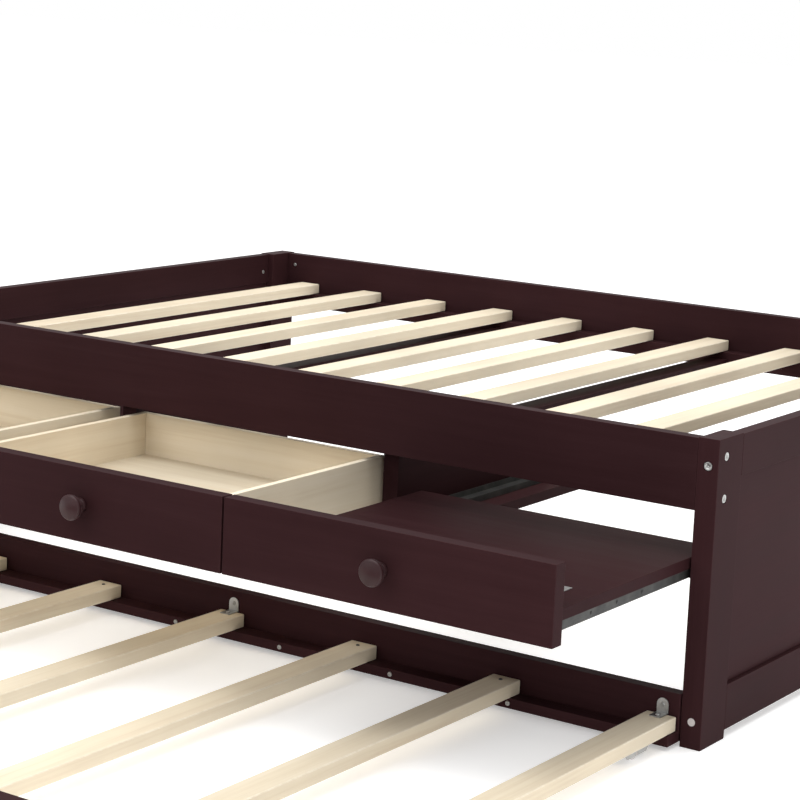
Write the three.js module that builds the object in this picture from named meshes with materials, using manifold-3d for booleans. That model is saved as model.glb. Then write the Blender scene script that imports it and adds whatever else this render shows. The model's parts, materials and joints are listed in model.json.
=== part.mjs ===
// Wooden storage bed with a pull-out trundle, two drawers and a pull-out tray.
// Millimetres, +Z up. X runs along the bed, +Y points to the back of the bed.
// The origin lies on the floor under the middle of the whole object as it stands
// with the drawers, the tray and the trundle pulled out to the front.
import * as THREE from 'three';
import { mergeVertices } from 'three/addons/utils/BufferGeometryUtils.js';
import Module from 'manifold-3d';

const wasm = await Module();
wasm.setup();

// Driving dimensions of the bed
const BED_LENGTH = 1990;
const BED_WIDTH = 1440;
const POST = { x: 39, y: 90, height: 535, edge: 2 };
const BOARD = 25;             // thickness of the rails and of the end frames
const RAIL = { bottom: 410, top: 533.5 };
const GAP = 0.3;              // clearance between pieces that touch
const SLAT = { width: 56, thickness: 24, pitch: 195, count: 10, bottom: 440, end: 91, clear: 3 };
const CLEAT = { width: 30, bottom: 405 };
const END_FRAME = { floorGap: 15, bottomRail: 81, topRail: 72, panel: 11, recess: 8 };

// The trundle, which rolls out under the front rail
const TRUNDLE = { travel: 1418, front: 28, frontTop: 250, floorGap: 12, side: 2, rearTop: 92, rearBottom: 8 };
const TRUNDLE_SLAT = { count: 7, bottom: 27.3, top: 53, clear: 4, end: 44 };
const TRUNDLE_CLEAT = 37;
const CASTER = { radius: 12, width: 12, bevel: 1, axle: 3, inset: 108 };
const FORK = { width: 24, plate: 2, length: 80, bottom: 9, nose: 8 };

// The three pull-out units behind one line of equal fronts
const PULL = { travel: 448, front: 28, bottom: 270, top: 402, ease: 3, split: 4, seam: 682 };
const KNOB = { radius: 23, foot: 13, neck: 10, waist: 9, rim: 22, depth: 34, z: 336 };
const BOX = {
  wall: 12, clear: 9, leftClear: 22, bottom: 300, top: 392, back: 62, floorLow: 303, floorHigh: 309,
};
const DIVIDER = { thickness: 33, front: 45, back: 580, top: 424, right: 664 };
const BEAM = { width: 50, bottom: 396 };
const BEARER = { bottom: 268, top: 288, front: 32, outer: 62, inner: { left: 690, right: 571 } };
const SHELF = { bottom: 308, top: 328, left: 650, right: 43, back: 104 };
const CHANNEL = { width: 44, height: 12, wall: 1.5, back: 560, overhang: 6, postClear: 5 };
const RUNNER = { width: 36, bottom: 291 };

// How finely round shapes are faceted, and how near two corners are to be one
const FACETS = { knob: 28, curve: 5, wheel: 32, bore: 24 };
const WELD = 1e-4;

// Lines that the pieces are set out from
const LEFT = -BED_LENGTH / 2;
const RIGHT = BED_LENGTH / 2;
const FRONT = -(BED_WIDTH - TRUNDLE.travel) / 2;
const REAR = FRONT + BED_WIDTH;

const finish = {
  espresso: { color: 0x35201f, roughness: 0.45, metalness: 0 },
  pine: { color: 0xd8ccac, roughness: 0.6, metalness: 0 },
  steel: { color: 0xa9a9a6, roughness: 0.35, metalness: 0.9 },
  nylon: { color: 0xe9e9e6, roughness: 0.4, metalness: 0 },
};

const bed = new THREE.Group();

function add(name, geometry, look) {
  const mesh = new THREE.Mesh(geometry, new THREE.MeshStandardMaterial(finish[look]));
  mesh.name = name;
  bed.add(mesh);
}

// A box given by its lowest and highest corner
function block([x0, y0, z0], [x1, y1, z1]) {
  const box = new THREE.BoxGeometry(x1 - x0, y1 - y0, z1 - z0);
  return box.translate((x0 + x1) / 2, (y0 + y1) / 2, (z0 + z1) / 2);
}

// An outline of [y, z] points, extruded from x0 to x1
function slabAcross(points, x0, x1) {
  const outline = new THREE.Shape(points.map(([y, z]) => new THREE.Vector2(y, z)));
  const slab = new THREE.ExtrudeGeometry(outline, { depth: x1 - x0, bevelEnabled: false });
  const [alongX, alongY, alongZ] = [[1, 0, 0], [0, 1, 0], [0, 0, 1]].map((v) => new THREE.Vector3(...v));
  slab.applyMatrix4(new THREE.Matrix4().makeBasis(alongY, alongZ, alongX));
  return slab.translate(x0, 0, 0);
}

function solid(geometry) {
  const bare = geometry.clone();
  bare.deleteAttribute('normal');
  bare.deleteAttribute('uv');
  const merged = mergeVertices(bare, WELD);
  const vertProperties = new Float32Array(merged.attributes.position.array);
  const triVerts = new Uint32Array(merged.index.array);
  return new wasm.Manifold(new wasm.Mesh({ numProp: 3, vertProperties, triVerts }));
}

function geometryOf(manifold) {
  const mesh = manifold.getMesh();
  const geometry = new THREE.BufferGeometry();
  geometry.setAttribute('position', new THREE.BufferAttribute(new Float32Array(mesh.vertProperties), 3));
  geometry.setIndex(new THREE.BufferAttribute(new Uint32Array(mesh.triVerts), 1));
  geometry.computeVertexNormals();
  return geometry;
}

function cut(body, ...tools) {
  return geometryOf(tools.reduce((rest, tool) => rest.subtract(solid(tool)), solid(body)));
}

// Corner posts: the narrow face looks to the front, and every upright edge is eased
function addPosts() {
  const { x, y, height, edge } = POST;
  const outline = new THREE.Shape([
    [edge, 0], [x - edge, 0], [x, edge], [x, y - edge],
    [x - edge, y], [edge, y], [0, y - edge], [0, edge],
  ].map(([u, v]) => new THREE.Vector2(u, v)));
  const corners = {
    post_front_left: [LEFT, FRONT], post_front_right: [RIGHT - x, FRONT],
    post_rear_left: [LEFT, REAR - y], post_rear_right: [RIGHT - x, REAR - y],
  };
  for (const [name, [px, py]] of Object.entries(corners)) {
    const post = new THREE.ExtrudeGeometry(outline, { depth: height, bevelEnabled: false });
    add(name, post.translate(px, py, 0), 'espresso');
  }
}

// Long rails between the posts, with the cleats that carry the slats
function addRails() {
  const x0 = LEFT + POST.x + GAP;
  const x1 = RIGHT - POST.x - GAP;
  add('front_rail', block([x0, FRONT, RAIL.bottom], [x1, FRONT + BOARD, RAIL.top]), 'espresso');
  add('rear_rail', block([x0, REAR - BOARD, RAIL.bottom], [x1, REAR, RAIL.top]), 'espresso');
  const top = SLAT.bottom - GAP;
  const frontFace = FRONT + BOARD + GAP;
  const rearFace = REAR - BOARD - GAP;
  const frontCleat = block([x0, frontFace, CLEAT.bottom], [x1, frontFace + CLEAT.width, top]);
  const rearCleat = block([x0, rearFace - CLEAT.width, CLEAT.bottom], [x1, rearFace, top]);
  add('front_slat_cleat', frontCleat, 'espresso');
  add('rear_slat_cleat', rearCleat, 'espresso');
}

// Each end is a frame of two rails with a thinner panel set back from the outer face
function addEnd(side, outer, inward) {
  const y0 = FRONT + POST.y + GAP;
  const y1 = REAR - POST.y - GAP;
  const slab = (near, far, z0, z1) => {
    const xs = [outer + inward * near, outer + inward * far].sort((a, b) => a - b);
    return block([xs[0], y0, z0], [xs[1], y1, z1]);
  };
  const low = END_FRAME.floorGap + END_FRAME.bottomRail;
  const high = RAIL.top - END_FRAME.topRail;
  add(`end_bottom_rail_${side}`, slab(0, BOARD, END_FRAME.floorGap, low), 'espresso');
  add(`end_top_rail_${side}`, slab(0, BOARD, high, RAIL.top), 'espresso');
  const { recess, panel } = END_FRAME;
  add(`end_panel_${side}`, slab(recess, recess + panel, low + GAP, high - GAP), 'espresso');
}

function addSlats() {
  const y0 = FRONT + BOARD + SLAT.clear;
  const y1 = REAR - BOARD - SLAT.clear;
  for (let i = 0; i < SLAT.count; i += 1) {
    const right = RIGHT - SLAT.end - i * SLAT.pitch;
    const slat = block([right - SLAT.width, y0, SLAT.bottom], [right, y1, SLAT.bottom + SLAT.thickness]);
    add(`slat_${String(i + 1).padStart(2, '0')}`, slat, 'pine');
  }
}

// A divider is a beam from one slat cleat to the other, with an upright board under its front part.
// Seen from the end it is an upside-down L, and its outer face is the one towards that end of the bed.
function addDivider(side, outer, inward) {
  const y0 = FRONT + BOARD + CLEAT.width + 2 * GAP;
  const y1 = REAR - BOARD - CLEAT.width - 2 * GAP;
  const piece = (width, front, back, bottom, top) => {
    const xs = [outer, outer + inward * width].sort((a, b) => a - b);
    return solid(block([xs[0], front, bottom], [xs[1], back, top]));
  };
  const { thickness, front, back, top } = DIVIDER;
  const upright = piece(thickness, FRONT + front, FRONT + back, BEARER.top + GAP, CLEAT.bottom - GAP);
  const beam = piece(BEAM.width, y0, y1, BEAM.bottom, top);
  add(`divider_${side}`, geometryOf(beam.add(upright)), 'espresso');
}

// Bearers carry the two slides of the tray
function addBearers() {
  const inner = [RIGHT - BEARER.inner.left, RIGHT - BEARER.inner.right];
  const outer = [RIGHT - POST.x - BEARER.outer, RIGHT - END_FRAME.recess - END_FRAME.panel - GAP];
  const spans = {
    inner: [inner, FRONT + BEARER.front, FRONT + DIVIDER.back],
    outer: [outer, FRONT + POST.y + GAP, REAR - POST.y - GAP],
  };
  for (const [side, [[x0, x1], y0, y1]] of Object.entries(spans)) {
    add(`tray_bearer_${side}`, block([x0, y0, BEARER.bottom], [x1, y1, BEARER.top]), 'espresso');
  }
}

// A turned knob: a waisted neck that opens into a rounded disc, standing proud of the front
function addKnob(name, x) {
  const { radius, foot, neck, waist, rim, depth } = KNOB;
  const profile = new THREE.Path();
  profile.moveTo(0, 0).lineTo(foot, 0);
  profile.quadraticCurveTo(neck, 0, neck, waist);
  profile.quadraticCurveTo(neck, (waist + rim) / 2, radius, rim);
  profile.quadraticCurveTo(radius, depth, 0, depth);
  const knob = new THREE.LatheGeometry(profile.getPoints(FACETS.curve), FACETS.knob).rotateX(Math.PI);
  add(name, knob.translate(x, FRONT - PULL.travel - GAP, KNOB.z), 'espresso');
}

// A flat front with its face edges eased
function addFront(name, x0, x1) {
  const y0 = FRONT - PULL.travel;
  const { ease } = PULL;
  const outline = [
    [y0, PULL.bottom + ease], [y0 + ease, PULL.bottom], [y0 + PULL.front, PULL.bottom],
    [y0 + PULL.front, PULL.top], [y0 + ease, PULL.top], [y0, PULL.top - ease],
  ];
  add(`${name}_front`, slabAcross(outline, x0, x1), 'espresso');
  addKnob(`${name}_knob`, (x0 + x1) / 2);
}

// A drawer box, open at the top and closed at the front by the drawer's front
function addBox(name, x0, x1) {
  const y0 = FRONT - PULL.travel + PULL.front + GAP;
  const y1 = FRONT + BOX.back;
  const shell = block([x0, y0, BOX.bottom], [x1, y1, BOX.top]);
  const inside = block(
    [x0 + BOX.wall, y0 + BOX.wall, BOX.floorHigh],
    [x1 - BOX.wall, y1 - BOX.wall, BOX.top + BOX.wall],
  );
  const under = block(
    [x0 + BOX.wall, y0 + BOX.wall, BOX.bottom - BOX.wall],
    [x1 - BOX.wall, y1 - BOX.wall, BOX.floorLow],
  );
  add(`${name}_box`, cut(shell, inside, under), 'pine');
}

// The tray: a flat shelf behind the right front, on two slides that lie flat under its edges
function addTray() {
  const y0 = FRONT - PULL.travel + PULL.front + GAP;
  const left = RIGHT - SHELF.left;
  const right = RIGHT - SHELF.right;
  const back = FRONT + SHELF.back;
  add('tray_shelf', block([left, y0, SHELF.bottom], [right, back, SHELF.top]), 'espresso');
  const margin = (CHANNEL.width - RUNNER.width) / 2;
  const sides = {
    inner: [left - CHANNEL.overhang, FRONT + BEARER.front],
    outer: [right - CHANNEL.width, FRONT + POST.y + CHANNEL.postClear],
  };
  for (const [side, [x, start]] of Object.entries(sides)) {
    const floor = BEARER.top + GAP;
    const { width, height, wall } = CHANNEL;
    const channel = block([x, start, floor], [x + width, FRONT + CHANNEL.back, floor + height]);
    const groove = block(
      [x + wall, start - wall, floor + wall],
      [x + width - wall, FRONT + CHANNEL.back + wall, floor + 2 * height],
    );
    add(`tray_slide_channel_${side}`, cut(channel, groove), 'steel');
    const runner = block(
      [x + margin, y0, RUNNER.bottom],
      [x + margin + RUNNER.width, back, SHELF.bottom - GAP],
    );
    add(`tray_slide_runner_${side}`, runner, 'steel');
  }
}

function addPullOuts() {
  const end = POST.x + TRUNDLE.side;
  const half = PULL.split / 2;
  const seamRight = RIGHT - PULL.seam;
  const seamLeft = LEFT + PULL.seam;
  addFront('tray', seamRight + half, RIGHT - end);
  addFront('middle_drawer', seamLeft + half, seamRight - half);
  addFront('left_drawer', LEFT + end, seamLeft - half);
  const dividerRight = RIGHT - DIVIDER.right;
  const far = DIVIDER.thickness + BOX.clear;
  addDivider('right', dividerRight, -1);
  addDivider('left', -dividerRight, 1);
  addBox('middle_drawer', -(dividerRight - far), dividerRight - far);
  addBox('left_drawer', LEFT + end + BOX.leftClear, -(dividerRight + BOX.leftClear));
}

// A low caster: a bent steel fork under the slat and a wheel on its own axle
function addCaster(name, x, y) {
  const { radius, width, bevel, axle } = CASTER;
  const top = TRUNDLE_SLAT.bottom - GAP;
  const [half, side, tread] = [FORK.length / 2, FORK.width / 2, width / 2];
  const corner = FORK.bottom + FORK.nose;
  const outline = [
    [y - half + FORK.nose, FORK.bottom], [y + half - FORK.nose, FORK.bottom], [y + half, corner],
    [y + half, top], [y - half, top], [y - half, corner],
  ];
  const shell = slabAcross(outline, x - side, x + side);
  const slot = block(
    [x - side + FORK.plate, y - FORK.length, FORK.bottom - FORK.plate],
    [x + side - FORK.plate, y + FORK.length, top - FORK.plate],
  );
  const bore = new THREE.CylinderGeometry(axle + GAP, axle + GAP, 2 * FORK.width, FACETS.bore);
  bore.rotateZ(Math.PI / 2).translate(x, y, radius);
  add(`caster_fork_${name}`, cut(shell, slot, bore), 'steel');
  const profile = [
    [0, -side], [axle, -side], [axle, -tread], [radius - bevel, -tread], [radius, bevel - tread],
    [radius, tread - bevel], [radius - bevel, tread], [axle, tread], [axle, side], [0, side],
  ].map(([r, h]) => new THREE.Vector2(r, h));
  const wheel = new THREE.LatheGeometry(profile, FACETS.wheel).rotateZ(Math.PI / 2);
  add(`caster_wheel_${name}`, wheel.translate(x, y, radius), 'nylon');
}

function addTrundle() {
  const x0 = LEFT + POST.x + TRUNDLE.side;
  const x1 = RIGHT - POST.x - TRUNDLE.side;
  const y0 = FRONT - TRUNDLE.travel;
  const frontFace = y0 + TRUNDLE.front;
  const rearFace = REAR - TRUNDLE.travel - BOARD;
  const { floorGap, frontTop, rearTop, rearBottom } = TRUNDLE;
  add('trundle_front', block([x0, y0, floorGap], [x1, frontFace, frontTop]), 'espresso');
  add('trundle_rear_rail', block([x0, rearFace, rearBottom], [x1, rearFace + BOARD, rearTop]), 'espresso');
  const top = TRUNDLE_SLAT.bottom - GAP;
  const front = [frontFace + GAP, frontFace + GAP + TRUNDLE_CLEAT];
  const rear = [rearFace - GAP - TRUNDLE_CLEAT, rearFace - GAP];
  add('trundle_front_cleat', block([x0, front[0], rearBottom], [x1, front[1], top]), 'espresso');
  add('trundle_rear_cleat', block([x0, rear[0], rearBottom], [x1, rear[1], top]), 'espresso');

  const { count, bottom, clear, end } = TRUNDLE_SLAT;
  const pitch = (BED_LENGTH - 2 * end - SLAT.width) / (count - 1);
  for (let i = 0; i < count; i += 1) {
    const right = RIGHT - end - i * pitch;
    const high = [right, rearFace - clear, TRUNDLE_SLAT.top];
    const slat = block([right - SLAT.width, frontFace + clear, bottom], high);
    add(`trundle_slat_${i + 1}`, slat, 'pine');
  }
  const x = RIGHT - end - SLAT.width / 2;
  const yRear = rearFace - CASTER.inset;
  const yFront = frontFace + CASTER.inset;
  addCaster('rear_right', x, yRear);
  addCaster('rear_left', -x, yRear);
  addCaster('front_right', x, yFront);
  addCaster('front_left', -x, yFront);
}

addPosts();
addRails();
addEnd('right', RIGHT, -1);
addEnd('left', LEFT, 1);
addSlats();
addBearers();
addPullOuts();
addTray();
addTrundle();

export default bed;
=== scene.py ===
import json
import math
import random

import bmesh
import bpy
from mathutils import Euler, Matrix, Vector


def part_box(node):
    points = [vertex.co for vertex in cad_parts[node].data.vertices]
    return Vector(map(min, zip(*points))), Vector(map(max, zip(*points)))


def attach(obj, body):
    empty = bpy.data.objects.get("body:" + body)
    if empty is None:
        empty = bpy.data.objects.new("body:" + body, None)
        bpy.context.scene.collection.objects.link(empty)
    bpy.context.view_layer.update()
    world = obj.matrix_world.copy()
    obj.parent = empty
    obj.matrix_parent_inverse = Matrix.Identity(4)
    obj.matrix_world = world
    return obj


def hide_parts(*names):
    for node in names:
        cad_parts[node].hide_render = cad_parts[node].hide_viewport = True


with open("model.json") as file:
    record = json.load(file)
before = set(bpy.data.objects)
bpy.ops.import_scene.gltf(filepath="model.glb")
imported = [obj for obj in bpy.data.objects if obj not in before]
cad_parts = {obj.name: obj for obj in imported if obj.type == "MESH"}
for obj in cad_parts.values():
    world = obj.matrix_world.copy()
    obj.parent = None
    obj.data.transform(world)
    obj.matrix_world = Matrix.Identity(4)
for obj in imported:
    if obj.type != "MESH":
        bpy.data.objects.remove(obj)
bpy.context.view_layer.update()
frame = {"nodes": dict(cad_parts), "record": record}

dice = random.Random(7)

# Sizes in metres
ROUND = {"espresso_wood": 0.0009, "pale_pine": 0.0022}
FOOT_ROUND = 0.0005
TYRE_ROUND = 0.0015
HAIR = 0.0003
BOLT = {
    "radius": 0.0075, "socket": 0.0034, "deep": 0.004, "bore": 0.0085,
    "round": 0.0008, "shoulder": 0.0012, "face": 0.0004, "socket_deep": 0.0030, "socket_floor": 0.0032,
}
CAP = {"radius": 0.0075, "z": 0.047, "round": 0.0009, "shoulder": 0.0010}
BOLT_HEIGHTS = {"face": 0.488, "end": (0.503, 0.431)}
BOLT_INSET = 0.031
SCREW = {"radius": 0.0045, "rise": 0.0022, "slot": 0.0026}
BOX = {"wall": 0.012, "floor_low": 0.003, "floor_high": 0.009, "groove": 0.004, "round": 0.0012}
NUT = {"radius": 0.0045, "rise": 0.0010, "slot": 0.002, "inset": 0.022, "end_z": 0.490, "rail_z": 0.506}
SLIDE_SCREWS = {"count": 3, "first": 0.100, "pitch": 0.083, "size": 0.7}
ANGLE = {"width": 0.022, "up": 0.027, "along": 0.030, "sheet": 0.0018}
TRAY_ANGLE = {"along": 0.112, "from_right": 0.058}
TRUNDLE_SLATS = 7
BRACKET_EVERY = 3
TRUNDLE_SCREWS = {"inset": 0.022, "size": 0.8}
CLEAT_SCREWS = {"count": 7, "first": 0.315, "pitch": 0.2505}

# Proportions: shares of a thickness, a radius, a depth, a rise or a length
MOST_ROUND = 0.3
CROSS = {"half_arm": math.pi / 12, "waist": 0.45}
SCREW_HEAD = {"flat": 0.5, "curve": 0.5, "edge": 0.2, "dome": 0.8, "slot_foot": 0.7, "slot_wall": 0.35}
NUT_SLOT = 0.3
ANGLE_SCREWS = {"along_foot": 0.62, "upright_size": 0.9}
KNOB = {
    "foot": 0.56, "waist": 0.43, "face": 0.84, "rim": 0.16,
    "base": 0.05, "neck": 0.30, "flare_from": 0.35, "flare": 0.27, "flare_power": 1.6,
    "rim_at": 0.77, "rim_rise": 0.15, "dome_from": 0.92, "dome": 0.08,
}
KNOB_STEPS = {
    "neck": (0.2, 0.4, 0.6, 0.8, 1.0),
    "flare": (0.2, 0.4, 0.6, 0.8, 0.95),
    "dome": (0.15, 0.3, 0.45, 0.6, 0.75, 0.9),
}
WHEEL = {"tread": 0.5, "hub": 0.5, "axle": 0.25, "recess": 0.8}

# How finely round shapes are divided
HOLE_SIDES = 32
TURNED_SIDES = 48
KNOB_SIDES = 64
EDGE_STEPS = 3
FOOT_EDGE_STEPS = 2
BRACKET_STEPS = 12
ARC_STEPS = {"bolt": 4, "cap": 4, "nut": 4, "tyre": 5, "screw": 6, "knob": 14}

# Stage: the floor, the strength of the white surroundings, and the lamps with their place, target, size
# and power
FLOOR = {"size": 30.0, "colour": 0.93, "rough": (0.70, 0.80), "mottle": (4.0, 4.0, 0.6), "glow": 0.35}
SURROUNDINGS = 1.0
LAMPS = {
    "overhead": ((0.0, 0.2, 4.2), (0.0, 0.0, 0.0), 5.0, 110),
    "front": ((-2.5, -5.0, 3.0), (0.0, 0.0, 0.3), 3.0, 70),
    "trundle": ((0.0, -1.4, 3.6), (0.0, -1.0, 0.0), 3.0, 36),
    "end": ((5.0, 1.0, 2.6), (0.9, 0.6, 0.3), 3.0, 8),
}

# Camera: where it stands, which way it faces, and its lens
CAMERA = {
    "place": (2.6538, -3.4464, 1.2835),
    "azimuth": 33.815,
    "elevation": 9.186,
    "roll": 2.472,
    "lens": 105.15,
    "shift_y": -0.07,
    "clip_end": 200,
}


# ---------------------------------------------------------------- meshes

def body_of_node():
    """The name of the body that each CAD node belongs to."""
    groups = frame["record"]["behaviour"]["bodies"]
    return {node: body for body, nodes in groups.items() for node in nodes}


def slot_of_node():
    """The material slot of each CAD node."""
    return {part["node"]: part["material_slot"] for part in frame["record"]["subparts"]}


BODY = body_of_node()
SLOT = slot_of_node()


def paint(bm, edge_faces, tone, shift):
    """Stores the painted edge highlight (red), the board's own tone (green) and its grain offset (blue) on
    every corner.
    """
    layer = bm.loops.layers.float_color.new("board")
    painted_edge_highlight = set(edge_faces)
    for face in bm.faces:
        # The faces of the rounded edges are marked for a painted highlight
        painted_highlight_mask = 1.0 if face in painted_edge_highlight else 0.0
        for loop in face.loops:
            loop[layer] = (painted_highlight_mask, tone, shift, 1.0)


def finish_piece(bm, name, material, body, replaced=(), smooth=True):
    """Turns a bmesh into an object that rides on a body."""
    mesh = bpy.data.meshes.new(name)
    bmesh.ops.recalc_face_normals(bm, faces=bm.faces)
    bm.to_mesh(mesh)
    bm.free()
    piece = bpy.data.objects.new(name, mesh)
    bpy.context.scene.collection.objects.link(piece)
    mesh.materials.append(material)
    if smooth:
        mesh.shade_smooth()
        weighted = piece.modifiers.new("even_normals", "WEIGHTED_NORMAL")
        weighted.keep_sharp = True
    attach(piece, body)
    if replaced:
        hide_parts(*replaced)
    return piece


def box_bmesh(low, high, radius, segments=EDGE_STEPS):
    """A board with rounded edges, and the faces that make up the rounding."""
    bm = bmesh.new()
    bmesh.ops.create_cube(bm, size=1.0)
    size = Vector(high) - Vector(low)
    centre = (Vector(high) + Vector(low)) / 2
    bmesh.ops.scale(bm, vec=size, verts=bm.verts)
    bmesh.ops.translate(bm, vec=centre, verts=bm.verts)
    radius = min(radius, MOST_ROUND * min(size))
    flats = {tuple(round(c, 3) for c in f.normal) for f in bm.faces}
    bmesh.ops.bevel(bm, geom=bm.edges[:], offset=radius, segments=segments, profile=0.5, affect="EDGES")
    bm.normal_update()
    edges = [f for f in bm.faces if tuple(round(c, 3) for c in f.normal) not in flats]
    return bm, edges


def cut_holes(piece, holes):
    """Sinks round holes into a piece. Each hole is (centre, axis, radius, depth)."""
    for centre, axis, radius, depth in holes:
        bm = bmesh.new()
        turn = Vector((0, 0, 1)).rotation_difference(Vector(axis)).to_matrix().to_4x4()
        place = Matrix.Translation(Vector(centre)) @ turn
        bmesh.ops.create_cone(
            bm, cap_ends=True, segments=HOLE_SIDES, radius1=radius, radius2=radius,
            depth=2 * depth, matrix=place
        )
        mesh = bpy.data.meshes.new("tool")
        bm.to_mesh(mesh)
        bm.free()
        tool = bpy.data.objects.new("tool", mesh)
        bpy.context.scene.collection.objects.link(tool)
        cut = piece.modifiers.new("hole", "BOOLEAN")
        cut.operation = "DIFFERENCE"
        cut.solver = "EXACT"
        cut.object = tool
        piece.modifiers.move(len(piece.modifiers) - 1, 0)
        bpy.context.view_layer.update()
        graph = bpy.context.evaluated_depsgraph_get()
        normals = piece.modifiers.get("even_normals")
        normals.show_viewport = False
        graph.update()
        solid = bpy.data.meshes.new_from_object(
            piece.evaluated_get(graph), preserve_all_data_layers=True, depsgraph=graph
        )
        normals.show_viewport = True
        piece.modifiers.remove(cut)
        piece.data = solid
        bpy.data.objects.remove(tool)


def grain_axis(low, high):
    """Grain runs along a board's longest side."""
    size = [b - a for a, b in zip(low, high)]
    return size.index(max(size))


def board(name, low, high, slot, body, replaced=(), radius=None):
    """A rounded board with its grain along its longest side."""
    bm, edges = box_bmesh(low, high, radius or ROUND[slot])
    paint(bm, edges, dice.random(), dice.random())
    return finish_piece(bm, name, wood(slot, grain_axis(low, high)), body, replaced)


def turned(name, profile, place, axis, material, body, replaced=(), steps=TURNED_SIDES):
    """Turns a profile of (radius, height, outline) about axis. An outline shapes the ring by its angle."""
    bm = bmesh.new()
    turn = Vector((0, 0, 1)).rotation_difference(Vector(axis)).to_matrix()
    rings = []
    for radius, height, outline in profile:
        if radius == 0:
            rings.append([bm.verts.new(turn @ Vector((0, 0, height)) + Vector(place))])
            continue
        ring = []
        for i in range(steps):
            angle = 2 * math.pi * i / steps
            reach = radius * outline(angle)
            spot = Vector((reach * math.cos(angle), reach * math.sin(angle), height))
            ring.append(bm.verts.new(turn @ spot + Vector(place)))
        rings.append(ring)
    for a, b in zip(rings, rings[1:]):
        for i in range(steps):
            j = (i + 1) % steps
            corners = [a[i % len(a)], a[j % len(a)], b[j % len(b)], b[i % len(b)]]
            face = list(dict.fromkeys(corners))
            if len(face) > 2:
                bm.faces.new(face)
    paint(bm, [], dice.random(), dice.random())
    return finish_piece(bm, name, material, body, replaced)


def circle(_angle):
    """A round outline."""
    return 1.0


def hexagon(angle):
    """A six-sided outline."""
    return math.cos(math.pi / 6) / math.cos((angle % (math.pi / 3)) - math.pi / 6)


def cross(angle):
    """A cross-shaped outline."""
    off = abs((angle + math.pi / 4) % (math.pi / 2) - math.pi / 4)
    return 1.0 if off < CROSS["half_arm"] else CROSS["waist"]


def arc(radius, height, reach, rise, start, stop, count):
    """Points of part of an ellipse, as (radius, height, circle)."""
    points = []
    for i in range(count + 1):
        t = start + (stop - start) * i / count
        points.append((radius + reach * math.cos(t), height + rise * math.sin(t), circle))
    return points


# ---------------------------------------------------------------- materials

WOOD = {
    "espresso_wood": {
        "ramp": (
            (0.25, (0.0262, 0.0098, 0.0110)),
            (0.55, (0.0318, 0.0125, 0.0140)),
            (0.85, (0.0395, 0.0172, 0.0190)),
        ),
        # A lighter colour painted on the rounded edges as a highlight
        "painted_edge_highlight": (0.048, 0.022, 0.023),
        "rough": (0.42, 0.50),
        "specular": 0.02,
        "bump": 0.06,
        "across": 34.0,
        "along": 1.6,
        "tone": (0.86, 1.12),
    },
    "pale_pine": {
        "ramp": (
            (0.22, (0.57, 0.455, 0.32)),
            (0.50, (0.68, 0.59, 0.445)),
            (0.80, (0.74, 0.66, 0.53)),
        ),
        # A lighter colour painted on the rounded edges as a highlight
        "painted_edge_highlight": (0.82, 0.76, 0.65),
        "rough": (0.50, 0.68),
        "specular": 0.25,
        "bump": 0.16,
        "across": 26.0,
        "along": 0.9,
        "tone": (0.92, 1.05),
    },
}
WOOD["espresso_turned"] = {**WOOD["espresso_wood"], "rough": (0.28, 0.36), "specular": 0.20}
made_materials = {}

# Scale, detail, roughness and, where there is one, distortion of each noise
GRAIN_NOISE = (1.0, 7.0, 0.62, 0.6)
PORE_NOISE = (1.0, 4.0, 0.6)
CLOUD_NOISE = (2.3, 3.0, 0.5)
# Noise that breaks up the painted edge highlight
HIGHLIGHT_BREAKUP_NOISE = (60.0, 3.0, 0.6)
BRUSHED_NOISE = (1.0, 4.0, 0.6)
PATCH_NOISE = (30.0, 4.0, 0.6)

# The part of a noise's range that is used, and how far it then reaches
NOISE_BAND = (0.3, 0.7)
# The band and reach of the noise that breaks up the painted edge highlight
HIGHLIGHT_BREAKUP_BAND = (0.35, 0.65)
HIGHLIGHT_REACH = (0.10, 0.50)
CLOUD_REACH = (0.88, 1.12)

# How much finer pores are than the figure, their share in the mix, and how far boards differ in grain
PORES = {"across": 9, "along": 6, "share": 0.28}
GRAIN_SHIFT = 9.0
WOOD_RELIEF = 0.0006
SURFACE_RELIEF = 0.0002
PLAIN = 0.5

# Sockets of a Mix node
FACTOR = 0
FLOAT_A, FLOAT_B, FLOAT_OUT = 2, 3, 0
COLOUR_A, COLOUR_B, COLOUR_OUT = 6, 7, 2


def link(tree, source, target):
    tree.links.new(source, target)


def new_material(name):
    material = bpy.data.materials.new(name)
    material.use_nodes = True
    return material, material.node_tree, material.node_tree.nodes["Principled BSDF"]


def noise(tree, vector, scale, detail, rough, distortion=0.0):
    node = tree.nodes.new("ShaderNodeTexNoise")
    node.inputs["Scale"].default_value = scale
    node.inputs["Detail"].default_value = detail
    node.inputs["Roughness"].default_value = rough
    node.inputs["Distortion"].default_value = distortion
    link(tree, vector, node.inputs["Vector"])
    return node.outputs["Fac"]


def spread(tree, value, low, high, in_low=0.0, in_high=1.0):
    node = tree.nodes.new("ShaderNodeMapRange")
    node.inputs["From Min"].default_value = in_low
    node.inputs["From Max"].default_value = in_high
    node.inputs["To Min"].default_value = low
    node.inputs["To Max"].default_value = high
    link(tree, value, node.inputs["Value"])
    return node.outputs["Result"]


def stretched(tree, vector, scales):
    node = tree.nodes.new("ShaderNodeMapping")
    node.inputs["Scale"].default_value = scales
    link(tree, vector, node.inputs["Vector"])
    return node.outputs["Vector"]


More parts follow.
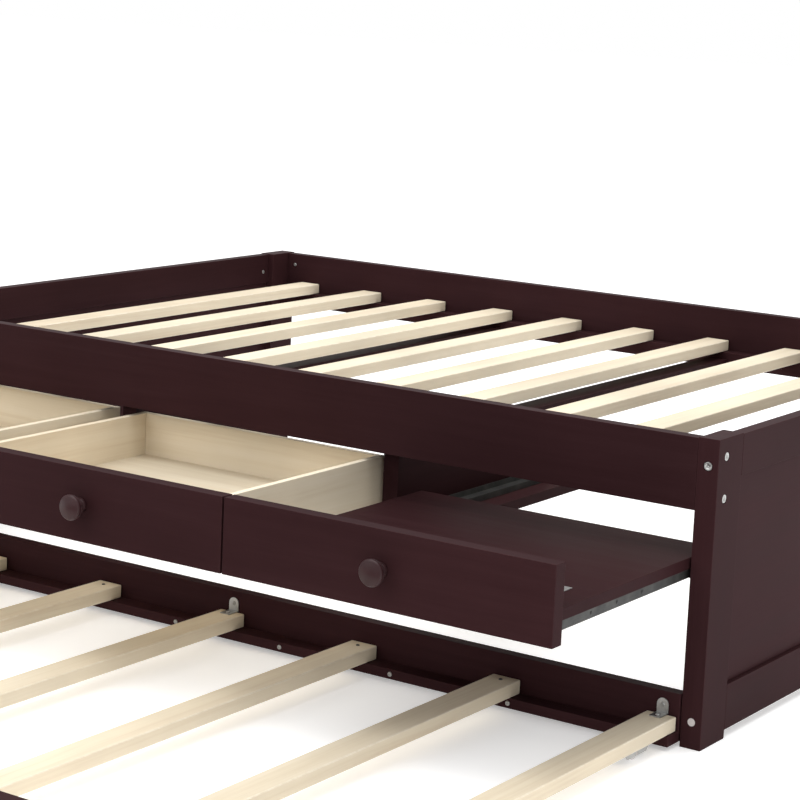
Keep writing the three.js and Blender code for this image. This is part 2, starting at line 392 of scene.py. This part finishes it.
def wood(slot, axis):
    """Wood whose grain runs along one axis, with broad figure, fine pores, and a painted highlight on its
    rounded edges.
    """
    key = (slot, axis)
    if key in made_materials:
        return made_materials[key]
    look = WOOD[slot]
    material, tree, shader = new_material(f"{slot}_{'xyz'[axis]}")
    where = tree.nodes.new("ShaderNodeTexCoord").outputs["Object"]
    stored = tree.nodes.new("ShaderNodeAttribute")
    stored.attribute_name = "board"
    parts = tree.nodes.new("ShaderNodeSeparateColor")
    link(tree, stored.outputs["Color"], parts.inputs["Color"])
    painted_highlight_mask, tone, shift = parts.outputs[0], parts.outputs[1], parts.outputs[2]

    moved = tree.nodes.new("ShaderNodeVectorMath")
    moved.operation = "ADD"
    link(tree, where, moved.inputs[0])
    far = spread(tree, shift, 0.0, GRAIN_SHIFT)
    link(tree, far, moved.inputs[1])
    place = moved.outputs["Vector"]

    figure = [look["across"]] * 3
    figure[axis] = look["along"]
    grain = noise(tree, stretched(tree, place, figure), *GRAIN_NOISE)
    fine = [look["across"] * PORES["across"]] * 3
    fine[axis] = look["along"] * PORES["along"]
    pores = noise(tree, stretched(tree, place, fine), *PORE_NOISE)
    cloud = noise(tree, place, *CLOUD_NOISE)

    mix = tree.nodes.new("ShaderNodeMix")
    mix.data_type = "FLOAT"
    mix.inputs[FACTOR].default_value = PORES["share"]
    link(tree, grain, mix.inputs[FLOAT_A])
    link(tree, pores, mix.inputs[FLOAT_B])
    ramp = tree.nodes.new("ShaderNodeValToRGB")
    elements = ramp.color_ramp.elements
    elements[0].position, elements[0].color = look["ramp"][0][0], (*look["ramp"][0][1], 1)
    elements[1].position, elements[1].color = look["ramp"][2][0], (*look["ramp"][2][1], 1)
    middle = elements.new(look["ramp"][1][0])
    middle.color = (*look["ramp"][1][1], 1)
    link(tree, mix.outputs[FLOAT_OUT], ramp.inputs["Fac"])

    toned = tree.nodes.new("ShaderNodeHueSaturation")
    link(tree, ramp.outputs["Color"], toned.inputs["Color"])
    product = tree.nodes.new("ShaderNodeMath")
    product.operation = "MULTIPLY"
    link(tree, spread(tree, tone, *look["tone"]), product.inputs[0])
    link(tree, spread(tree, cloud, *CLOUD_REACH, *NOISE_BAND), product.inputs[1])
    link(tree, product.outputs[0], toned.inputs["Value"])

    # Painted highlight: the rounded edges are mixed towards a lighter colour, broken up by noise
    painted_highlight_amount = tree.nodes.new("ShaderNodeMath")
    painted_highlight_amount.operation = "MULTIPLY"
    link(tree, painted_highlight_mask, painted_highlight_amount.inputs[0])
    link(tree, spread(tree, noise(tree, place, *HIGHLIGHT_BREAKUP_NOISE), *HIGHLIGHT_REACH, *HIGHLIGHT_BREAKUP_BAND), painted_highlight_amount.inputs[1])
    painted_edge_highlight = tree.nodes.new("ShaderNodeMix")
    painted_edge_highlight.data_type = "RGBA"
    link(tree, painted_highlight_amount.outputs[0], painted_edge_highlight.inputs[FACTOR])
    link(tree, toned.outputs["Color"], painted_edge_highlight.inputs[COLOUR_A])
    painted_edge_highlight.inputs[COLOUR_B].default_value = (*look["painted_edge_highlight"], 1)
    link(tree, painted_edge_highlight.outputs[COLOUR_OUT], shader.inputs["Base Color"])

    link(tree, spread(tree, grain, *look["rough"], *NOISE_BAND), shader.inputs["Roughness"])
    shader.inputs["Specular IOR Level"].default_value = look["specular"]
    bump = tree.nodes.new("ShaderNodeBump")
    bump.inputs["Strength"].default_value = look["bump"]
    bump.inputs["Distance"].default_value = WOOD_RELIEF
    link(tree, mix.outputs[FLOAT_OUT], bump.inputs["Height"])
    link(tree, bump.outputs["Normal"], shader.inputs["Normal"])
    made_materials[key] = material
    return material


def grained(name, dark, light, rough, metallic, scales, bump_strength):
    """A manufactured surface: two close tones, uneven roughness, and a fine directional grain."""
    if name in made_materials:
        return made_materials[name]
    material, tree, shader = new_material(name)
    where = tree.nodes.new("ShaderNodeTexCoord").outputs["Object"]
    brushed = noise(tree, stretched(tree, where, scales), *BRUSHED_NOISE)
    patches = noise(tree, where, *PATCH_NOISE)
    mix = tree.nodes.new("ShaderNodeMix")
    mix.data_type = "RGBA"
    link(tree, spread(tree, patches, 0.0, 1.0, *NOISE_BAND), mix.inputs[FACTOR])
    mix.inputs[COLOUR_A].default_value = (*dark, 1)
    mix.inputs[COLOUR_B].default_value = (*light, 1)
    link(tree, mix.outputs[COLOUR_OUT], shader.inputs["Base Color"])
    link(tree, spread(tree, brushed, *rough, *NOISE_BAND), shader.inputs["Roughness"])
    shader.inputs["Metallic"].default_value = metallic
    bump = tree.nodes.new("ShaderNodeBump")
    bump.inputs["Strength"].default_value = bump_strength
    bump.inputs["Distance"].default_value = SURFACE_RELIEF
    link(tree, brushed, bump.inputs["Height"])
    link(tree, bump.outputs["Normal"], shader.inputs["Normal"])
    made_materials[name] = material
    return material


# Dark tone, light tone, roughness range, metallic, grain scales and bump of each manufactured surface
DRAWN = (900, 60, 900)
EVEN = (300, 300, 300)
SURFACES = {
    "zinc_steel": ((0.34, 0.34, 0.33), (0.48, 0.48, 0.47), (0.28, 0.46), 0.9, DRAWN, 0.2),
    "slide_steel": ((0.05, 0.05, 0.05), (0.095, 0.095, 0.09), (0.50, 0.62), 0.85, DRAWN, 0.2),
    "dark_steel": ((0.05, 0.05, 0.05), (0.10, 0.10, 0.10), (0.30, 0.48), 0.9, DRAWN, 0.2),
    "cap_plastic": ((0.42, 0.38, 0.37), (0.50, 0.46, 0.45), (0.40, 0.55), 0.0, EVEN, 0.08),
    "white_nylon": ((0.62, 0.58, 0.57), (0.70, 0.67, 0.66), (0.32, 0.46), 0.0, EVEN, 0.08),
}


def surface(name):
    return grained(name, *SURFACES[name])


# ---------------------------------------------------------------- the bed

def plain_boards():
    """Every straight board of the bed and the trundle."""
    special = ("divider_", "drawer_box")
    for node, slot in SLOT.items():
        if slot not in WOOD or node.endswith("_knob") or any(word in node for word in special):
            continue
        low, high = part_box(node)
        name = f"{node}_board"
        piece = board(name, low, high, slot, BODY[node], (node,))
        if node.startswith("post_"):
            cut_holes(piece, [(spot, axis, BOLT["bore"], BOLT["deep"]) for spot, axis in post_bolts(node)])
            if node == "post_front_right":
                cut_holes(piece, [(*post_cap(node), CAP["radius"], BOLT["deep"])])


def post_bolts(node):
    """Where the bolts sit in a post: one through its narrow face, two through the end of the bed."""
    low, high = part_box(node)
    front = "front" in node
    outward = 1 if "right" in node else -1
    face_y = low.y if front else high.y
    end_x = high.x if outward > 0 else low.x
    middle = (low.x + high.x) / 2
    inset = BOLT_INSET if front else -BOLT_INSET
    spots = [(Vector((middle, face_y, BOLT_HEIGHTS["face"])), Vector((0, -1 if front else 1, 0)))]
    for height in BOLT_HEIGHTS["end"]:
        spots.append((Vector((end_x, face_y + inset, height)), Vector((outward, 0, 0))))
    return spots


def post_cap(node):
    """Where the plastic plug sits in a post, and which way it faces."""
    low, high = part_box(node)
    return Vector(((low.x + high.x) / 2, low.y, CAP["z"])), Vector((0, -1, 0))


def bolt(name, spot, axis, body):
    """A socket bolt head, sunk just below the wood around it."""
    r, socket, deep, curve = BOLT["radius"], BOLT["socket"], BOLT["deep"], BOLT["round"]
    profile = [(0, -deep, circle), (r, -deep, circle), (r, -BOLT["shoulder"], circle)]
    profile += arc(r - curve, -BOLT["shoulder"], curve, curve, 0, math.pi / 2, ARC_STEPS["bolt"])
    profile += [(socket, -BOLT["face"], hexagon), (socket, -BOLT["socket_deep"], hexagon)]
    profile += [(0, -BOLT["socket_floor"], circle)]
    return turned(name, profile, spot, axis, surface("zinc_steel"), body)


def screw(name, spot, axis, body, material=None, size=1.0):
    """A pan head screw with a cross recess."""
    r, rise, slot = (SCREW[k] * size for k in ("radius", "rise", "slot"))
    profile = [(0, -HAIR, circle), (r, -HAIR, circle)]
    flat, curve = SCREW_HEAD["flat"] * r, SCREW_HEAD["curve"] * r
    edge, dome = SCREW_HEAD["edge"] * rise, SCREW_HEAD["dome"] * rise
    foot, wall = slot * SCREW_HEAD["slot_foot"], SCREW_HEAD["slot_wall"] * rise
    profile += arc(flat, edge, curve, dome, 0, math.pi / 2, ARC_STEPS["screw"])
    profile += [(slot, rise, cross), (foot, wall, cross), (0, edge, circle)]
    return turned(name, profile, spot, axis, material or surface("zinc_steel"), body)


def bolts_and_caps():
    """The bolts in all four posts, and the plug in the front right one."""
    for node in (n for n in BODY if n.startswith("post_")):
        for i, (spot, axis) in enumerate(post_bolts(node)):
            bolt(f"{node}_bolt_{i + 1}", spot, axis, "bed_frame")
    spot, axis = post_cap("post_front_right")
    r, curve = CAP["radius"] - HAIR, CAP["round"]
    profile = [(0, -BOLT["deep"], circle), (r, -BOLT["deep"], circle), (r, -CAP["shoulder"], circle)]
    profile += arc(r - curve, -CAP["shoulder"], curve, curve, 0, math.pi / 2, ARC_STEPS["cap"])
    profile += [(0, 0, circle)]
    plastic = surface("cap_plastic")
    turned("post_front_right_cap", profile, spot, axis, plastic, "bed_frame")


def knobs():
    """Round knobs: a foot, a waist, a flare to the rim, and a domed face."""
    for node in (n for n in BODY if n.endswith("_knob")):
        low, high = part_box(node)
        radius = (high.x - low.x) / 2
        depth = high.y - low.y
        centre = Vector(((low.x + high.x) / 2, high.y, (low.z + high.z) / 2))
        foot, waist, face = KNOB["foot"] * radius, KNOB["waist"] * radius, KNOB["face"] * radius
        profile = [(0, 0, circle), (foot, 0, circle), (foot, KNOB["base"] * depth, circle)]
        for t in KNOB_STEPS["neck"]:
            reach = waist + (foot - waist) * (1 - t) ** 2
            profile.append((reach, depth * (KNOB["base"] + KNOB["neck"] * t), circle))
        for t in KNOB_STEPS["flare"]:
            reach = waist + (radius - waist) * t ** KNOB["flare_power"]
            profile.append((reach, depth * (KNOB["flare_from"] + KNOB["flare"] * t), circle))
        rim, rise = KNOB["rim"] * radius, KNOB["rim_rise"] * depth
        quarter = math.pi / 2
        profile += arc(face, KNOB["rim_at"] * depth, rim, rise, -quarter, quarter, ARC_STEPS["knob"])
        for t in KNOB_STEPS["dome"]:
            height = KNOB["dome_from"] + KNOB["dome"] * (1 - (1 - t) ** 2)
            profile.append((face * (1 - t), depth * height, circle))
        profile.append((0, depth, circle))
        finish = wood("espresso_turned", 1)
        name, slot = f"{node}_turned", "espresso_wood"
        turned(name, profile, centre, (0, -1, 0), finish, BODY[node], (node,), KNOB_SIDES)


def drawer_boxes():
    """Each drawer box as five boards: two sides, a back, an inner front, and a bottom in a groove."""
    wall, groove = BOX["wall"], BOX["groove"]
    for node in (n for n in BODY if n.endswith("_drawer_box")):
        low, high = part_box(node)
        body = BODY[node]
        shift = Vector((wall + HAIR, 0, 0))
        cuts = {
            "side_left": (low, Vector((low.x + wall, high.y, high.z))),
            "side_right": (Vector((high.x - wall, low.y, low.z)), high),
            "back": (Vector((low.x, high.y - wall, low.z)) + shift, high - shift),
            "inner_front": (low + shift, Vector((high.x, low.y + wall, high.z)) - shift),
            "bottom": (
                low + Vector((wall - groove, wall - groove, BOX["floor_low"])),
                Vector((high.x - wall + groove, high.y - wall + groove, low.z + BOX["floor_high"])),
            ),
        }
        for label, (a, b) in cuts.items():
            replaced = (node,) if label == "side_left" else ()
            board(f"{node}_{label}", a, b, "pale_pine", body, replaced, radius=BOX["round"])


def dividers():
    """The dividers keep their CAD shape and take the espresso wood, with its grain from front to back."""
    for node in ("divider_right", "divider_left"):
        for slot in frame["nodes"][node].material_slots:
            slot.material = wood("espresso_wood", 1)


def tray_hardware():
    """The tray's slides keep their CAD shape. The tray gets screws and a bracket with a long foot."""
    for node in (n for n in BODY if n.startswith("tray_slide")):
        for slot in frame["nodes"][node].material_slots:
            slot.material = surface("slide_steel")
    low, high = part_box("tray_slide_runner_outer")
    for i in range(SLIDE_SCREWS["count"]):
        back = SLIDE_SCREWS["first"] + i * SLIDE_SCREWS["pitch"]
        spot = Vector((high.x, low.y + back, (low.z + high.z) / 2))
        finish, size = surface("dark_steel"), SLIDE_SCREWS["size"]
        screw(f"tray_slide_screw_{i + 1}", spot, (1, 0, 0), "tray", finish, size)
    shelf_low, shelf_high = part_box("tray_shelf")
    x = shelf_high.x - TRAY_ANGLE["from_right"]
    angle("tray_bracket", x, shelf_low.y + HAIR, shelf_high.z, 1, "tray", TRAY_ANGLE["along"])


def barrel_nuts():
    """The far ends of the corner bolts: small discs near both ends of the end rails and long rails."""
    for side, inward in (("left", 1), ("right", -1)):
        low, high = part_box(f"end_top_rail_{side}")
        face = high.x if inward > 0 else low.x
        for end, y in (("front", low.y + NUT["inset"]), ("rear", high.y - NUT["inset"])):
            nut(f"end_nut_{side}_{end}", (face, y, NUT["end_z"]), (inward, 0, 0))
    for rail, out in (("front_rail", 1), ("rear_rail", -1)):
        low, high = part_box(rail)
        face = high.y if out > 0 else low.y
        for side, x in (("left", low.x + NUT["inset"]), ("right", high.x - NUT["inset"])):
            nut(f"{rail}_nut_{side}", (x, face, NUT["rail_z"]), (0, out, 0))


def nut(name, spot, axis):
    """A slotted barrel nut, standing just proud of the wood."""
    r, rise, slot = NUT["radius"], NUT["rise"], NUT["slot"]
    profile = [(0, -HAIR, circle), (r, -HAIR, circle)]
    floor = NUT_SLOT * rise
    profile += arc(r - rise, 0, rise, rise, 0, math.pi / 2, ARC_STEPS["nut"])
    profile += [(slot, rise, cross), (slot, floor, cross), (0, floor, circle)]
    turned(name, profile, spot, axis, surface("zinc_steel"), "bed_frame")


def angle(name, x, y, z, direction, body, along=ANGLE["along"]):
    """A zinc angle bracket: a foot on a flat top, and a round-topped upright against the board behind it.

    direction is +1 where the foot runs towards the back, and -1 where it runs towards the front.
    """
    w, up, t = ANGLE["width"], ANGLE["up"], ANGLE["sheet"]
    outline = [(x - w / 2, z), (x + w / 2, z)]
    turn_z = z + up - w / 2
    outline += [(x + w / 2 * math.cos(a), turn_z + w / 2 * math.sin(a))
                for a in (math.pi * i / BRACKET_STEPS for i in range(BRACKET_STEPS + 1))]
    bm = bmesh.new()
    sides = [[bm.verts.new((px, y + direction * d, pz)) for px, pz in outline] for d in (0, t)]
    count = len(outline)
    bm.faces.new(sides[0])
    bm.faces.new(sides[1][::-1])
    for i in range(count):
        j = (i + 1) % count
        bm.faces.new((sides[0][i], sides[0][j], sides[1][j], sides[1][i]))
    paint(bm, [], PLAIN, PLAIN)
    finish_piece(bm, f"{name}_upright", surface("zinc_steel"), body, smooth=False)
    a = Vector((x - w / 2, y + direction * t, z))
    b = Vector((x + w / 2, y + direction * along, z + t))
    low, high = Vector(map(min, a, b)), Vector(map(max, a, b))
    foot, edges = box_bmesh(low, high, FOOT_ROUND, FOOT_EDGE_STEPS)
    paint(foot, edges, PLAIN, PLAIN)
    finish_piece(foot, f"{name}_foot", surface("zinc_steel"), body)
    foot_y = y + direction * ANGLE_SCREWS["along_foot"] * along
    size = ANGLE_SCREWS["upright_size"]
    screw(f"{name}_screw_foot", (x, foot_y, z + t), (0, 0, 1), body)
    screw(f"{name}_screw_up", (x, y + direction * t, turn_z), (0, direction, 0), body, size=size)


def trundle_hardware():
    """Brackets on the outer and middle trundle slats, screws in the others, and screws in both cleats."""
    rail_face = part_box("trundle_rear_rail")[0].y
    front_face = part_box("trundle_front")[1].y
    cleat_low, cleat_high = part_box("trundle_rear_cleat")
    slats = [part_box(f"trundle_slat_{i + 1}") for i in range(TRUNDLE_SLATS)]
    for i, (low, high) in enumerate(slats):
        x = (low.x + high.x) / 2
        if i % BRACKET_EVERY == 0:
            angle(f"trundle_bracket_rear_{i + 1}", x, rail_face - HAIR, high.z, -1, "trundle")
            angle(f"trundle_bracket_front_{i + 1}", x, front_face + HAIR, high.z, 1, "trundle")
        else:
            inset, size = TRUNDLE_SCREWS["inset"], TRUNDLE_SCREWS["size"]
            for end, y in (("rear", high.y - inset), ("front", low.y + inset)):
                name = f"trundle_slat_screw_{end}_{i + 1}"
                screw(name, (x, y, high.z), (0, 0, 1), "trundle", surface("dark_steel"), size)
    first = cleat_high.x - CLEAT_SCREWS["first"]
    middle = (cleat_low.z + cleat_high.z) / 2
    front_cleat_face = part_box("trundle_front_cleat")[1].y
    for i in range(CLEAT_SCREWS["count"]):
        for end, y, out in (("rear", cleat_low.y, -1), ("front", front_cleat_face, 1)):
            spot = (first - i * CLEAT_SCREWS["pitch"], y, middle)
            screw(f"trundle_cleat_screw_{end}_{i + 1}", spot, (0, out, 0), "trundle")


def casters():
    """The forks keep their CAD shape. Each wheel is turned with a hub, a rounded tread and its axle."""
    for node in (n for n in BODY if n.startswith("caster_fork")):
        for slot in frame["nodes"][node].material_slots:
            slot.material = surface("zinc_steel")
    for node in (n for n in BODY if n.startswith("caster_wheel")):
        low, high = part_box(node)
        radius = (high.z - low.z) / 2
        centre = (low + high) / 2
        half = (high.x - low.x) / 2
        tread = WHEEL["tread"] * half
        hub, axle = WHEEL["hub"] * radius, WHEEL["axle"] * radius
        recess, curve, steps = tread * WHEEL["recess"], TYRE_ROUND, ARC_STEPS["tyre"]
        profile = [(0, -half, circle), (axle, -half, circle), (axle, -recess, circle),
                   (hub, -recess, circle), (hub, -tread, circle)]
        profile += arc(radius - curve, -tread + curve, curve, curve, -math.pi / 2, 0, steps)
        profile += arc(radius - curve, tread - curve, curve, curve, 0, math.pi / 2, steps)
        profile += [(hub, tread, circle), (hub, recess, circle), (axle, recess, circle),
                    (axle, half, circle), (0, half, circle)]
        name, slot = f"{node}_turned", "white_nylon"
        turned(name, profile, centre, (1, 0, 0), surface(slot), BODY[node], (node,))


# ---------------------------------------------------------------- stage

def stage():
    """A pale floor and soft light from above, the front and one end."""
    bm = bmesh.new()
    bmesh.ops.create_grid(bm, x_segments=1, y_segments=1, size=FLOOR["size"])
    mesh = bpy.data.meshes.new("floor")
    bm.to_mesh(mesh)
    bm.free()
    floor = bpy.data.objects.new("floor", mesh)
    bpy.context.scene.collection.objects.link(floor)
    material, tree, shader = new_material("floor_pale")
    where = tree.nodes.new("ShaderNodeTexCoord").outputs["Object"]
    mottle = noise(tree, where, *FLOOR["mottle"])
    link(tree, spread(tree, mottle, *FLOOR["rough"]), shader.inputs["Roughness"])
    shader.inputs["Base Color"].default_value = (*[FLOOR["colour"]] * 3, 1)
    shader.inputs["Specular IOR Level"].default_value = 0.0
    shader.inputs["Emission Color"].default_value = (1, 1, 1, 1)
    shader.inputs["Emission Strength"].default_value = FLOOR["glow"]
    mesh.materials.append(material)

    world = bpy.data.worlds.new("studio")
    bpy.context.scene.world = world
    world.use_nodes = True
    backdrop = world.node_tree.nodes["Background"]
    backdrop.inputs["Color"].default_value = (1, 1, 1, 1)
    backdrop.inputs["Strength"].default_value = SURROUNDINGS

    for name, (place, target, size, power) in LAMPS.items():
        data = bpy.data.lights.new(name, "AREA")
        data.size = size
        data.energy = power
        lamp = bpy.data.objects.new(name, data)
        lamp.location = place
        lamp.rotation_euler = (Vector(target) - Vector(place)).to_track_quat("-Z", "Y").to_euler()
        bpy.context.scene.collection.objects.link(lamp)
    bpy.context.scene.view_settings.view_transform = "Standard"


def camera():
    """The photograph's view, with no sideways shift."""
    data = bpy.data.cameras.new("camera")
    data.lens = CAMERA["lens"]
    data.shift_y = CAMERA["shift_y"]
    data.clip_end = CAMERA["clip_end"]
    eye = bpy.data.objects.new("camera", data)
    tilt, heading = math.radians(90 - CAMERA["elevation"]), math.radians(CAMERA["azimuth"])
    level = Euler((tilt, 0, heading)).to_matrix()
    rolled = level @ Matrix.Rotation(math.radians(CAMERA["roll"]), 3, "Z")
    eye.rotation_euler = rolled.to_euler()
    eye.location = CAMERA["place"]
    bpy.context.scene.collection.objects.link(eye)
    bpy.context.scene.camera = eye


plain_boards()
bolts_and_caps()
knobs()
drawer_boxes()
dividers()
barrel_nuts()
tray_hardware()
trundle_hardware()
casters()
stage()
camera()
